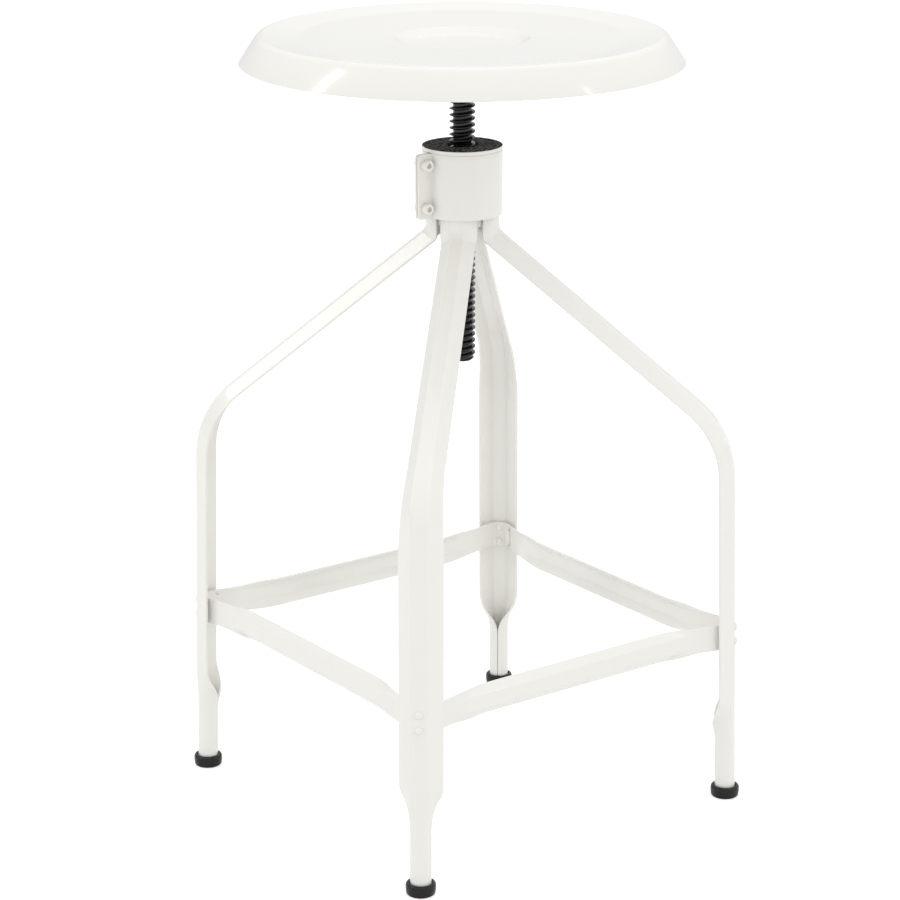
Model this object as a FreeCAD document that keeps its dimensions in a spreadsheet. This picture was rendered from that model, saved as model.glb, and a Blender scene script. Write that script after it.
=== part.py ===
import FreeCAD, Part
import math
import os
import re

import Sketcher
from FreeCAD import Placement, Rotation, Vector

# Screw stool for a workshop: a dished steel seat on a threaded spindle, which turns in a clamped hub
# on four pressed legs tied by four pressed rails. Lengths in mm, angles in degrees.
# Z is up, the floor is at zero and the spindle's axis is the Z axis. The legs stand on the diagonals.

os.makedirs("parts", exist_ok=True)
doc = FreeCAD.newDocument("machinist_stool")
sheet = doc.addObject("Spreadsheet::Sheet", "sizes")

SIZES = {
    # seat pan, a pressing of one sheet
    "seat_radius": 170,
    "seat_height": 612,
    "seat_sheet": 1.5,
    "skirt_drop": 20.5,
    "skirt_flare": 15,
    "crest_rise": 1.1,
    "crest_width": 29,
    "crest_round": 7,
    "dish_rise": 0.6,
    "dish_depth": 3.2,
    "dimple_radius": 52,
    "dimple_depth": 4,
    "dimple_wall": 7,
    "crest_radius": "=seat_radius - skirt_flare",
    "dish_floor": "=seat_height - dish_depth",
    "seat_floor": "=dish_floor - dimple_depth - seat_sheet",
    # spindle and the plate that carries the seat
    "spindle_radius": 10,
    "spindle_length": 247,
    "spindle_point": 3,
    "plate_radius": 44,
    "plate_thick": 4,
    "boss_radius": 16,
    "boss_length": 12,
    "boss_foot": "=seat_floor - joint_gap - plate_thick - boss_length",
    "washer_radius": 17,
    "washer_thick": 2,
    "washer_play": 0.1,
    # threaded hub in its clamp
    "screw_out": 85.3,
    "hub_top": "=seat_height - screw_out",
    "hub_length": 60.7,
    "rim_thick": 3,
    "mouth": 2.5,
    "run_gap": 0.05,
    "collar_sheet": 2.1,
    "collar_height": 50.2,
    "collar_inner": 29,
    "collar_outer": "=collar_inner + collar_sheet",
    "collar_top": "=hub_top - rim_thick - joint_gap",
    "ear_reach": 43,
    "ear_slit": 1,
    "ear_half": "=ear_slit / 2 + collar_sheet",
    "ear_round": 3,
    "ear_bend": 1,
    "bolt_reach": 36.6,
    "bolt_spacing": 33.6,
    "bolt_radius": 2.5,
    "bolt_head_radius": 4.25,
    "bolt_head": 5,
    "bolt_key": 4,
    "bolt_length": 12,
    "nut_flats": 8,
    "nut_thick": 4,
    # legs, each pressed from one strip: curved tab, channel, seamed tube
    "leg_sheet": 2,
    "leg_reach": 218.3,
    "leg_splay": 1.45,
    "fold_drop": 66.1,
    "fold_height": "=hub_top - fold_drop",
    "fold_round": 8,
    "fold_run": 6,
    "slope_angle": 39.8,
    "knee_round": 80,
    "tab_flat": 4.4,
    "tab_side": 15.2,
    "tab_round": 15.2,
    "slope_side": 14.1,
    "slope_bend_angle": 50.5,
    "knee_flat": 5.8,
    "knee_side": 13.1,
    "knee_bend_angle": 51.5,
    "leg_flat": 6.5,
    "leg_side": 14.85,
    "leg_bend_angle": 45,
    "tube_radius": 8.25,
    "tube_foot": 4,
    "tube_length": 46,
    "rolling_length": 38,
    "seam_gap": 0.5,
    # the hub's core, which the four curved tabs meet with their edges
    "tab_reach": "=collar_inner - joint_gap",
    "tab_turn": "=(tab_flat + tab_side) / tab_round * 180 / pi",
    "edge_reach": "=tab_reach - tab_round + (tab_round - leg_sheet) * cos(tab_turn * 1 deg)",
    "edge_side": "=(tab_round - leg_sheet) * sin(tab_turn * 1 deg)",
    "core_radius": "=sqrt(edge_reach ^ 2 + edge_side ^ 2) - 2 * joint_gap",
    # rails and their rivets
    "rail_height": 139,
    "rail_inset": 10,
    "rail_reach": "=(leg_reach + leg_flat) * sqrt(0.5) - rail_inset",
    "rail_sheet": 1.5,
    "rail_web": 12.5,
    "rail_flange": 8.2,
    "rail_bend_angle": 45,
    "tab_height": 21,
    "tab_lap": 10,
    "tab_tip": 4,
    "flare_length": 31,
    "flare_start": "=rail_reach - flare_length",
    "fade_length": 36,
    "rivet_spacing": 12,
    "rivet_radius": 2,
    "rivet_head_radius": 3.2,
    "rivet_head": 2.1,
    # glides under the feet
    "glide_radius": 11.5,
    "glide_height": 9.5,
    "glide_play": 0.2,
    "plug_height": 22,
    # small gap left where two pieces touch
    "joint_gap": 0.05,
}

# which way each leg stands, and which way each rail has been turned from its place along -Y
LEGS = {"back_right": 45, "back_left": 135, "front_left": 225, "front_right": 315}
RAILS = {"front": 0, "right": 90, "back": 180, "left": 270}

for row, (alias, number) in enumerate(SIZES.items(), 1):
    sheet.set("A%d" % row, alias)
    sheet.set("B%d" % row, str(number))
    sheet.setAlias("B%d" % row, alias)
doc.recompute()


def size(alias):
    return float(sheet.get(alias))


def worth(text):
    """The number that a formula of sheet names comes to."""
    sheet.set("D1", "=" + text)
    sheet.recompute()
    return float(sheet.get("D1"))


def bound(text):
    """The same formula as another object writes it."""
    return re.sub(r"[a-z]\w*", lambda m: "sizes." + m.group() if m.group() in SIZES else m.group(), text)


# Bodies and their sketches


def body_named(label):
    body = doc.addObject("PartDesign::Body", label)
    body.Label = label
    return body


def sketch_on(body, name, role, lift=None):
    """An empty sketch on one of the body's own origin planes, lifted along the plane's normal."""
    sketch = body.newObject("Sketcher::SketchObject", name)
    plane = next(f for f in body.Origin.OriginFeatures if f.Role == role)
    sketch.AttachmentSupport = [(plane, "")]
    sketch.MapMode = "FlatFace"
    if lift:
        sketch.setExpression("AttachmentOffset.Base.z", bound(lift))
    return sketch


def pin(sketch, shape, point, x_text, y_text):
    """Ties a point of the sketch to two formulas."""
    for kind, text in (("DistanceX", x_text), ("DistanceY", y_text)):
        index = sketch.addConstraint(Sketcher.Constraint(kind, -1, 1, shape, point, worth(text)))
        sketch.setExpression("Constraints[%d]" % index, bound(text))


def outline(sketch, corners):
    """A closed outline of straight lines. A corner is a pair of formulas, and a third one rounds it."""
    points = [Vector(worth(c[0]), worth(c[1]), 0) for c in corners]
    count = len(points)
    sides = [(points[(i + 1) % count] - points[i]).normalize() for i in range(count)]
    # how far the tangent point of a rounded corner lies from it
    trims = []
    for i, corner in enumerate(corners):
        turn = sides[i - 1].getAngle(sides[i])
        trims.append(worth(corner[2]) * math.tan(turn / 2) if len(corner) > 2 else 0.0)
    first = sketch.GeometryCount
    for i, point in enumerate(points):
        after = (i + 1) % count
        start = point + sides[i] * trims[i]
        end = points[after] - sides[i] * trims[after]
        sketch.addGeometry(Part.LineSegment(start, end), False)
    for i, corner in enumerate(corners):
        line, before = first + i, first + (i - 1) % count
        if len(corner) == 2:
            sketch.addConstraint(Sketcher.Constraint("Coincident", before, 2, line, 1))
            pin(sketch, line, 1, *corner)
            continue
        arc, ends = corner_arc(sketch, points[i], sides[i - 1], sides[i], trims[i])
        sketch.addConstraint(Sketcher.Constraint("Tangent", before, 2, arc, ends[0]))
        sketch.addConstraint(Sketcher.Constraint("Tangent", line, 1, arc, ends[1]))
        number = sketch.addConstraint(Sketcher.Constraint("Radius", arc, worth(corner[2])))
        sketch.setExpression("Constraints[%d]" % number, bound(corner[2]))
        mark = sketch.addGeometry(Part.Point(points[i]), True)
        sketch.addConstraint(Sketcher.Constraint("PointOnObject", mark, 1, before))
        sketch.addConstraint(Sketcher.Constraint("PointOnObject", mark, 1, line))
        pin(sketch, mark, 1, *corner[:2])


def corner_arc(sketch, corner, coming, going, trim):
    """Adds the arc that rounds a corner, and says which of its ends comes first."""
    begin, end = corner - coming * trim, corner + going * trim
    inward = (going - coming).normalize()
    half = coming.getAngle(going) / 2
    radius = trim / math.tan(half)
    middle = corner + inward * (radius / math.cos(half) - radius)
    turns_left = coming.cross(going).z > 0
    ordered = (begin, middle, end) if turns_left else (end, middle, begin)
    index = sketch.addGeometry(Part.Arc(*ordered), False)
    return index, (1, 2) if turns_left else (2, 1)


def ring(sketch, x, y, radius):
    """A circle round a point, all three given as formulas."""
    centre = Vector(worth(x), worth(y), 0)
    index = sketch.addGeometry(Part.Circle(centre, Vector(0, 0, 1), worth(radius)), False)
    pin(sketch, index, 3, x, y)
    number = sketch.addConstraint(Sketcher.Constraint("Radius", index, worth(radius)))
    sketch.setExpression("Constraints[%d]" % number, bound(radius))


def turned(body, name, corners):
    """A solid of revolution about Z from an outline of radius and height."""
    sketch = sketch_on(body, name + "_profile", "XZ_Plane")
    outline(sketch, corners)
    solid = body.newObject("PartDesign::Revolution", name)
    solid.Profile = sketch
    solid.ReferenceAxis = (sketch, ["V_Axis"])
    solid.Angle = 360
    sketch.Visibility = False
    doc.recompute()
    return solid


def padded(body, name, sketch, length):
    solid = body.newObject("PartDesign::Pad", name)
    solid.Profile = sketch
    solid.setExpression("Length", bound(length))
    doc.recompute()
    return solid


def cut_through(body, name, sketch, both=True):
    solid = body.newObject("PartDesign::Pocket", name)
    solid.Profile = sketch
    solid.Type = "ThroughAll"
    solid.Midplane = both
    doc.recompute()
    return solid


def edges_where(feature, wanted):
    """Names of the edges whose middle point and curve meet a condition."""
    found = []
    for number, edge in enumerate(feature.Shape.Edges, 1):
        middle = edge.valueAt((edge.FirstParameter + edge.LastParameter) / 2)
        if wanted(edge, middle):
            found.append("Edge%d" % number)
    return found


def circle_at(radius, height):
    """Picks the circles about Z with a radius at a height."""
    def wanted(edge, middle):
        reach = math.hypot(middle.x, middle.y)
        return abs(reach - radius) < 0.01 and abs(middle.z - height) < 0.01
    return wanted


def rounded(body, name, base, wanted, radius, kind="Fillet"):
    """Rounds, or with kind Chamfer bevels, the picked edges of the feature before."""
    dress = body.newObject("PartDesign::" + kind, name)
    dress.Base = (base, edges_where(base, wanted))
    dress.setExpression("Radius" if kind == "Fillet" else "Size", bound(radius))
    doc.recompute()
    return dress


def group(label, shape, placements):
    """Equal separate solids that share one node."""
    node = doc.addObject("Part::Feature", label)
    node.Label = label
    copies = []
    for placement in placements:
        copy = shape.copy()
        copy.Placement = placement.multiply(copy.Placement)
        copies.append(copy)
    node.Shape = Part.makeCompound(copies)
    return node


def about_z(angle, base=Vector()):
    return Placement(Vector(), Rotation(Vector(0, 0, 1), angle)).multiply(Placement(base, Rotation()))


# Seat: the pan is turned as a solid, rounded, and hollowed to one sheet


def seat_pan():
    body = body_named("seat_pan")
    foot = "seat_height - skirt_drop"
    solid = turned(body, "pan_form", [
        ("0", foot),
        ("seat_radius", foot),
        ("crest_radius", "seat_height + crest_rise", "crest_round"),
        ("crest_radius - crest_width", "dish_floor + dish_rise"),
        ("dimple_radius", "dish_floor"),
        ("dimple_radius - dimple_wall", "dish_floor - dimple_depth"),
        ("0", "dish_floor - dimple_depth"),
    ])
    shell = body.newObject("PartDesign::Thickness", "pan_sheet")
    faces = solid.Shape.Faces
    open_face = next(i for i, f in enumerate(faces, 1) if f.BoundBox.ZMax < worth(foot) + 0.01)
    shell.Base = (solid, ["Face%d" % open_face])
    shell.Reversed = True
    shell.setExpression("Value", bound("seat_sheet"))
    doc.recompute()
    return body


def seat_plate():
    body = body_named("seat_plate")
    top = "seat_floor - joint_gap"
    solid = turned(body, "plate_form", [
        ("spindle_radius + joint_gap", "boss_foot"),
        ("boss_radius", "boss_foot"),
        ("boss_radius", top + " - plate_thick"),
        ("plate_radius", top + " - plate_thick"),
        ("plate_radius", top),
        ("spindle_radius + joint_gap", top),
    ])
    corner = circle_at(size("boss_radius"), worth(top + " - plate_thick"))
    rounded(body, "weld_throat", solid, corner, "plate_thick", "Chamfer")
    return body


def spindle():
    body = body_named("spindle")
    top = "seat_floor - joint_gap"
    foot = top + " - spindle_length"
    turned(body, "spindle_form", [
        ("0", foot),
        ("spindle_radius - spindle_point", foot),
        ("spindle_radius", foot + " + spindle_point"),
        ("spindle_radius", top),
        ("0", top),
    ])
    return body


def stop_washer():
    body = body_named("stop_washer")
    top = "boss_foot - washer_play"
    turned(body, "washer_form", [
        ("spindle_radius + 2 * run_gap", top + " - washer_thick"),
        ("washer_radius", top + " - washer_thick"),
        ("washer_radius", top),
        ("spindle_radius + 2 * run_gap", top),
    ])
    return body


# Hub: threaded core with a rim that rests on the collar and the leg tabs


def screw_hub():
    body = body_named("screw_hub")
    bore = "spindle_radius + run_gap"
    solid = turned(body, "hub_form", [
        (bore, "hub_top - hub_length"),
        ("core_radius", "hub_top - hub_length"),
        ("core_radius", "hub_top - rim_thick"),
        ("collar_outer", "hub_top - rim_thick"),
        ("collar_outer", "hub_top"),
        (bore + " + mouth", "hub_top"),
        (bore, "hub_top - mouth"),
    ])
    edge = circle_at(size("collar_outer"), size("hub_top"))
    rounded(body, "rim_bevel", solid, edge, "rim_thick / 5", "Chamfer")
    return body


def clamp_collar():
    body = body_named("clamp_collar")
    foot = "collar_top - collar_height"
    band = sketch_on(body, "band_outline", "XY_Plane", foot)
    ring(band, "0", "0", "collar_outer")
    ring(band, "0", "0", "collar_inner")
    padded(body, "band", band, "collar_height")
    ears = sketch_on(body, "ear_outline", "XY_Plane", foot)
    root = "0 - collar_inner - collar_sheet / 4"
    tip = "0 - ear_reach"
    outline(ears, [(tip, "0 - ear_half"), (root, "0 - ear_half"), (root, "ear_half"), (tip, "ear_half")])
    solid = padded(body, "ears", ears, "collar_height")
    slit = sketch_on(body, "slit_outline", "XY_Plane", foot)
    inner = "0 - collar_inner / 2"
    out = tip + " - 1"
    half = "ear_slit / 2"
    outline(slit, [(out, "0 - " + half), (inner, "0 - " + half), (inner, half), (out, half)])
    solid = cut_through(body, "slit", slit)
    corner_reach = math.sqrt(size("collar_outer") ** 2 - size("ear_half") ** 2)

    def bend(edge, middle):
        upright = edge.BoundBox.ZLength > size("collar_height") - 0.01
        at_side = abs(abs(middle.y) - size("ear_half")) < 0.01
        return upright and at_side and abs(middle.x + corner_reach) < 0.01

    solid = rounded(body, "ear_bends", solid, bend, "ear_bend")

    def tip_corner(edge, middle):
        across = edge.BoundBox.YLength
        at_tip = abs(middle.x + size("ear_reach")) < 0.01
        return at_tip and abs(across - size("collar_sheet")) < 0.01

    rounded(body, "ear_corners", solid, tip_corner, "ear_round")
    holes = sketch_on(body, "ear_holes", "XZ_Plane")
    for sign in ("+", "-"):
        height = "collar_top - collar_height / 2 %s bolt_spacing / 2" % sign
        ring(holes, "0 - bolt_reach", height, "bolt_radius + joint_gap")
    cut_through(body, "bolt_holes", holes)
    return body


def across_ears():
    """Placements of the two bolts, whose own axis Z comes to point along -Y."""
    middle = worth("collar_top - collar_height / 2")
    turn = Rotation(Vector(1, 0, 0), 90)
    reach = -size("bolt_reach")
    half = size("bolt_spacing") / 2
    return [Placement(Vector(reach, 0, middle + side * half), turn) for side in (1, -1)]


def clamp_bolts():
    form = body_named("clamp_bolt_form")
    seat = "ear_half + joint_gap"
    solid = turned(form, "bolt_turning", [
        ("0", seat + " - bolt_length"),
        ("bolt_radius", seat + " - bolt_length"),
        ("bolt_radius", seat),
        ("bolt_head_radius", seat),
        ("bolt_head_radius", seat + " + bolt_head"),
        ("0", seat + " + bolt_head"),
    ])
    rim = circle_at(size("bolt_head_radius"), worth(seat + " + bolt_head"))
    rounded(form, "bolt_rim", solid, rim, "bolt_head_radius / 10", "Chamfer")
    socket = sketch_on(form, "socket_outline", "XY_Plane", seat + " + bolt_head")
    outline(socket, hexagon("bolt_key"))
    recess = form.newObject("PartDesign::Pocket", "socket")
    recess.Profile = socket
    recess.setExpression("Length", bound("bolt_head / 2"))
    doc.recompute()
    return group("clamp_bolts", form.Shape, across_ears())


def hexagon(flats):
    """Corners of a hexagon about the origin, two flats across X, as formulas of its width across flats."""
    reach = "%s / cos(30 deg) / 2" % flats
    return [("%s * cos(%d deg)" % (reach, a), "%s * sin(%d deg)" % (reach, a)) for a in range(30, 390, 60)]


def clamp_nuts():
    form = body_named("clamp_nut_form")
    foot = "0 - ear_half - joint_gap - nut_thick"
    shape = sketch_on(form, "nut_outline", "XY_Plane", foot)
    outline(shape, hexagon("nut_flats"))
    ring(shape, "0", "0", "bolt_radius + joint_gap")
    padded(form, "nut", shape, "nut_thick")
    return group("clamp_nuts", form.Shape, across_ears())


# Pressed strips. A section is drawn in the plane of t, across the strip, and w, inward from the
# outer face. It has an outer and an inner line with as many points. Sections along a path are
# joined by flat panels, two triangles where four corners don't lie in one plane.


def shifted(points, distance, end_turn=0.0):
    """The open line of points moved to its left by distance, mitred at its corners. On a line that
    stands for a curve, end_turn is the angle that the curve has turned on past its end segments."""
    headings = [math.atan2(by - ay, bx - ax) for (ax, ay), (bx, by) in zip(points, points[1:])]
    headings = [headings[0] - end_turn] + headings + [headings[-1] + end_turn]
    normals = [(-math.sin(a), math.cos(a)) for a in headings]
    moved = []
    for i, (x, y) in enumerate(points):
        before = after = normals[0 if i == 0 else -1]
        if 0 < i < len(points) - 1:
            before, after = normals[i], normals[i + 1]
        across = 1 + before[0] * after[0] + before[1] * after[1]
        moved.append((
            x + distance * (before[0] + after[0]) / across,
            y + distance * (before[1] + after[1]) / across,
        ))
    return moved


def strip_section(half_flat, flange, bend, roll):
    """Outer and inner line of a leg's section: a flat, a flange bent by an angle on each side, and an
    even roll of the whole width, given as an angle for each mm. The bends are two half bends."""
    corner = size("leg_sheet") * 0.9
    flat = half_flat - corner
    fold = (flange - corner) / 4
    steps = [(flat * 2 / 3, 0), (2 * corner, bend / 2)] + 4 * [(fold, bend)]

    def chord(length):
        turn = roll * length / 2
        return length * (math.sin(turn) / turn if turn else 1)

    done = flat / 3
    t, w = chord(2 * done) / 2, 0.0
    side = [(t, w)]
    for length, angle in steps:
        heading = angle + roll * (done + length / 2)
        t += chord(length) * math.cos(heading)
        w += chord(length) * math.sin(heading)
        done += length
        side.append((t, w))
    outer = [(-t, w) for t, w in reversed(side)] + side
    return outer, shifted(outer, size("leg_sheet"), roll * fold / 2)


def panels(corners):
    """Flat faces that fill a ring of four corners."""
    a, b, c, d = corners
    across = (b - a).cross(c - a)
    if across.Length > 1e-9 and abs(across.normalize().dot(d - a)) < 1e-6:
        rings = [corners]
    else:
        rings = [[a, b, c], [a, c, d]]
    return [Part.Face(Part.makePolygon(ring + ring[:1])) for ring in rings]


def strip_solid(sections):
    """The solid of a bent strip from its sections, each a pair of outer and inner points."""
    faces = []
    for outer, inner in (sections[0], sections[-1]):
        for i in range(len(outer) - 1):
            faces += panels([outer[i], outer[i + 1], inner[i + 1], inner[i]])
    rings = [outer + inner[::-1] for outer, inner in sections]
    for here, ahead in zip(rings, rings[1:]):
        for i in range(len(here)):
            j = (i + 1) % len(here)
            faces += panels([here[i], here[j], ahead[j], ahead[i]])
    solid = Part.makeSolid(Part.makeShell(faces))
    if solid.Volume < 0:
        solid.reverse()
    return solid.removeSplitter()


def mixed(first, second, share):
    return [a + (b - a) * share for a, b in zip(first, second)]


def leg_outer_radius(height):
    """Reach of the leg's outer face at a height of its splayed lower part."""
    return size("leg_reach") + math.tan(math.radians(size("leg_splay"))) * (size("rail_height") - height)


def leg_forms():
    """Width of flat and flange, bend and roll of the strip where it changes."""
    around = math.pi * size("tube_radius") - size("seam_gap") / 2

    def bent(part, side, bend):
        return [size(part + "_flat"), size(side), math.radians(size(bend)), 0.0]

    return {
        "tab": [size("tab_flat"), size("tab_side"), 0.0, 1 / size("tab_round")],
        "slope": bent("tab", "slope_side", "slope_bend_angle"),
        "knee": bent("knee", "knee_side", "knee_bend_angle"),
        "lower": bent("leg", "leg_side", "leg_bend_angle"),
        "tube": [size("leg_flat"), around - size("leg_flat"), 0.0, 1 / size("tube_radius")],
    }


def inward(lean, stretch=1.0):
    """Way of a section's depth as a step in reach and height, level where the strip stands upright."""
    return -stretch * math.cos(lean), -stretch * math.sin(lean)


def leg_stations():
    """Reach and height on the outer face, way inward and strip form, from the hub to the foot."""
    forms = leg_forms()
    slope_lean = math.radians(90 - size("slope_angle"))
    splay = math.radians(size("leg_splay"))
    stations = [(size("tab_reach"), worth("collar_top - joint_gap"), inward(0), forms["tab"])]
    # fold below the collar, hollow outside, whose sections all lie along its mitre
    fold = size("fold_round")
    start = size("fold_height") + fold * math.tan(slope_lean / 2)
    mitre = inward(slope_lean / 2, 1 / math.cos(slope_lean / 2))
    for share in (0, 0.5, 1):
        lean = slope_lean * share
        reach = size("tab_reach") + fold * (1 - math.cos(lean))
        height = start - fold * math.sin(lean)
        stations.append((reach, height, mitre, mixed(forms["tab"], forms["slope"], share)))
    reach += size("fold_run") * math.sin(slope_lean)
    height -= size("fold_run") * math.cos(slope_lean)
    stations.append((reach, height, inward(slope_lean), forms["slope"]))
    # knee between the slope and the splayed lower part
    steep = 1 / math.tan(slope_lean)
    splayed = math.tan(splay)
    corner_height = (reach + height / steep - leg_outer_radius(0)) / (1 / steep - splayed)
    corner_reach = leg_outer_radius(corner_height)
    knee = size("knee_round")
    setback = knee * math.tan((slope_lean - splay) / 2)
    centre_reach = corner_reach + setback * math.sin(splay) - knee * math.cos(splay)
    centre_height = corner_height - setback * math.cos(splay) - knee * math.sin(splay)
    steps = 6
    for i in range(steps + 1):
        share = i / steps
        lean = slope_lean + (splay - slope_lean) * share
        stations.append((
            centre_reach + knee * math.cos(lean),
            centre_height + knee * math.sin(lean),
            inward(lean),
            mixed(forms["knee"], forms["lower"], share),
        ))
    # straight lower part, then the strip rolls up into a tube; sections are level from here on
    shut = size("tube_foot") + size("tube_length")
    opened = shut + size("rolling_length")
    for height in (worth("rail_height + 2 * rail_web"), opened):
        stations.append((leg_outer_radius(height), height, inward(0), forms["lower"]))
    closing = 7
    for i in range(1, closing + 1):
        share = i / closing
        height = opened + (shut - opened) * share
        form = mixed(forms["lower"], forms["tube"], (1 - math.cos(math.pi * share)) / 2)
        stations.append((leg_outer_radius(height), height, inward(0), form))
    foot = size("tube_foot")
    stations.append((leg_outer_radius(foot), foot, inward(0), forms["tube"]))
    return stations


def leg_shape():
    sections = []
    for reach, height, (in_step, up_step), form in leg_stations():
        sections.append([
            [Vector(reach + w * in_step, t, height + w * up_step) for t, w in line]
            for line in strip_section(*form)
        ])
    return strip_solid(sections).cut(rivet_holes())


def rivet_places():
    """Placements in the leg's own frame, X outward, with Z along the rivet and zero on the outer face."""
    lean = size("leg_splay")
    places = []
    for side in (1, -1):
        height = size("rail_height") + side * size("rivet_spacing") / 2
        spot = Vector(leg_outer_radius(height), 0, height)
        places.append(Placement(spot, Rotation(Vector(0, 1, 0), 90 - lean)))
    return places


def rivet_holes():
    """Two drills through the leg's flat and both tabs."""
    drills = []
    half = worth("2 * (leg_sheet + 2 * rail_sheet)")
    for place in rivet_places():
        drill = Part.makeCylinder(size("rivet_radius") + size("joint_gap"), 2 * half, Vector(0, 0, -half))
        drill.Placement = place
        drills.append(drill)
    return Part.makeCompound(drills)


# Rails. Each is a pressed channel whose flattened ends lie in the legs: the end at +X next to the
# leg, the end at -X on top of its neighbour's. Plan points are worked out in the leg's own frame.


def lower_line(depth):
    """Corners of the leg's section below the knee as t and w, its outer face moved inward by depth."""
    outer, _ = strip_section(*leg_forms()["lower"])
    tip, fold, flat = outer[0], outer[4], outer[5]
    half = [tip, fold, flat]
    return shifted(half + [(-t, w) for t, w in reversed(half)], depth)


def in_plan(leg_angle, t, w):
    """A point of the leg's frame as plan X, Y at the rails' middle height."""
    angle = math.radians(leg_angle)
    reach = leg_outer_radius(size("rail_height")) - w
    return (
        reach * math.cos(angle) - t * math.sin(angle),
        reach * math.sin(angle) + t * math.cos(angle),
    )


def beside(start, aim, length):
    """The point at a length from start towards aim."""
    span = math.hypot(aim[0] - start[0], aim[1] - start[1])
    return tuple(s + (a - s) * length / span for s, a in zip(start, aim))


def under_path(leg_angle, flare):
    """Outer face of a rail end that lies next to the leg, from its flare at the web to its tip."""
    line = lower_line(size("leg_sheet") + size("joint_gap"))
    corners = [in_plan(leg_angle, t, w) for t, w in line[1:5]]
    tip = beside(corners[3], in_plan(leg_angle, *line[5]), size("tab_lap"))
    return [flare] + corners + [tip]


def rail_paths():
    """Plan line of the rail's outer face, and for each point the leg it leans with."""
    reach, start = size("rail_reach"), size("flare_start")
    under = under_path(LEGS["front_right"], (start, -reach))
    neighbour = under_path(LEGS["front_left"], (-reach, -start))
    over = shifted(neighbour, size("rail_sheet") + size("joint_gap"))
    tip = beside(over[1], over[0], size("tab_lap"))
    upper = [(-start, -reach)] + over[4:0:-1] + [tip]
    return upper[::-1], under


def rail_stations():
    """Plan point, leg angle, and half web, flange length and flange angle of each section."""
    upper, under = rail_paths()
    web, flange = size("rail_web") / 2, size("rail_flange")
    tab = size("tab_height") / 2 - web
    flare = web * 0.9
    straight = size("flare_start") - size("fade_length")
    ends = []
    for path, leg in ((upper[::-1], LEGS["front_left"]), (under, LEGS["front_right"])):
        flank = [
            (path[0], leg, 0.0, [web, flare, 0.0]),
        ]
        for point in path[1:5]:
            flank.append((point, leg, 1.0, [web, tab, 0.0]))
        tip, corner = path[5], path[4]
        for back, height in ((1.0, 1.0), (0.3, 0.8), (0.0, 0.5)):
            back *= size("tab_tip")
            flank.append((beside(tip, corner, back), leg, 1.0, [web * height, tab * height, 0.0]))
        ends.append(flank)
    full = [web, flange, math.radians(size("rail_bend_angle"))]
    reach = size("rail_reach")
    middle = [((x, -reach), 0, 0.0, full) for x in (-straight, straight)]
    return ends[0][::-1] + middle + ends[1]


def rail_profile(half_web, flange, bend):
    """Outer face of the rail's section as height and depth inward, from the lower edge up."""
    corner = min(size("rail_sheet") * 0.7, flange / 3, half_web / 3)
    half = [
        (half_web + flange * math.cos(bend), flange * math.sin(bend)),
        (half_web + corner * math.cos(bend), corner * math.sin(bend)),
        (half_web - corner, 0.0),
    ]
    return [(-z, d) for z, d in half] + half[::-1]


def rail_shape():
    stations = rail_stations()
    plan = [point for point, *_ in stations]
    sheet_line = shifted(plan, size("rail_sheet"))
    slope = math.tan(math.radians(size("leg_splay")))
    sections = []
    for (point, leg, leans, form), inner in zip(stations, sheet_line):
        # the mitred step from the outer to the inner face, for one mm of depth
        step = [(b - a) / size("rail_sheet") for a, b in zip(point, inner)]
        outward = (math.cos(math.radians(leg)), math.sin(math.radians(leg)))

        def placed(z, depth):
            lean = -slope * z * leans
            return Vector(
                point[0] + step[0] * depth + outward[0] * lean,
                point[1] + step[1] * depth + outward[1] * lean,
                size("rail_height") + z,
            )

        outer = rail_profile(*form)
        hollow = shifted(outer, size("rail_sheet"))
        sections.append([[placed(z, depth) for z, depth in line] for line in (outer, hollow)])
    solid = strip_solid(sections)
    for leg in ("front_left", "front_right"):
        drills = rivet_holes()
        drills.Placement = about_z(LEGS[leg])
        solid = solid.cut(drills)
    return solid


def rivet_shape():
    """One rivet with a raised head on each side, its outer head beyond zero."""
    form = body_named("rivet_form")
    grip = "0 - leg_sheet - 2 * rail_sheet - 3 * joint_gap"
    crown = "rivet_head_radius * 0.6"
    turned(form, "rivet_turning", [
        ("0", grip + " - rivet_head"),
        (crown, grip + " - rivet_head"),
        ("rivet_head_radius", grip),
        ("rivet_radius", grip),
        ("rivet_radius", "joint_gap"),
        ("rivet_head_radius", "joint_gap"),
        (crown, "joint_gap + rivet_head"),
        ("0", "joint_gap + rivet_head"),
    ])
    return form.Shape


def foot_glide(label, angle):
    """A moulded glide: a plug inside the tube and a rounded cup round its end."""
    body = body_named(label)
    leaning = " * tan(leg_splay * 1 deg)"
    plug = "(tube_radius - leg_sheet) * 0.96 - glide_play - (plug_height - tube_foot)" + leaning
    cup = "tube_radius + glide_play + (glide_height - tube_foot)" + leaning
    solid = turned(body, label + "_form", [
        ("0", "0"),
        ("glide_radius", "0"),
        ("glide_radius", "glide_height * 0.7"),
        ("glide_radius - 1", "glide_height"),
        (cup, "glide_height"),
        (cup, "tube_foot - joint_gap"),
        (plug, "tube_foot - joint_gap"),
        (plug, "plug_height"),
        ("0", "plug_height"),
    ])
    rounded(body, label + "_foot", solid, circle_at(size("glide_radius"), 0), "glide_height / 5", "Chamfer")
    centre = leg_outer_radius(size("tube_foot")) - size("tube_radius")
    body.Placement = about_z(angle, Vector(centre, 0, 0))
    return body


# The sub-parts, each in its own node

nodes = [
    seat_pan(),
    seat_plate(),
    spindle(),
    stop_washer(),
    screw_hub(),
    clamp_collar(),
    clamp_bolts(),
    clamp_nuts(),
]

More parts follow.
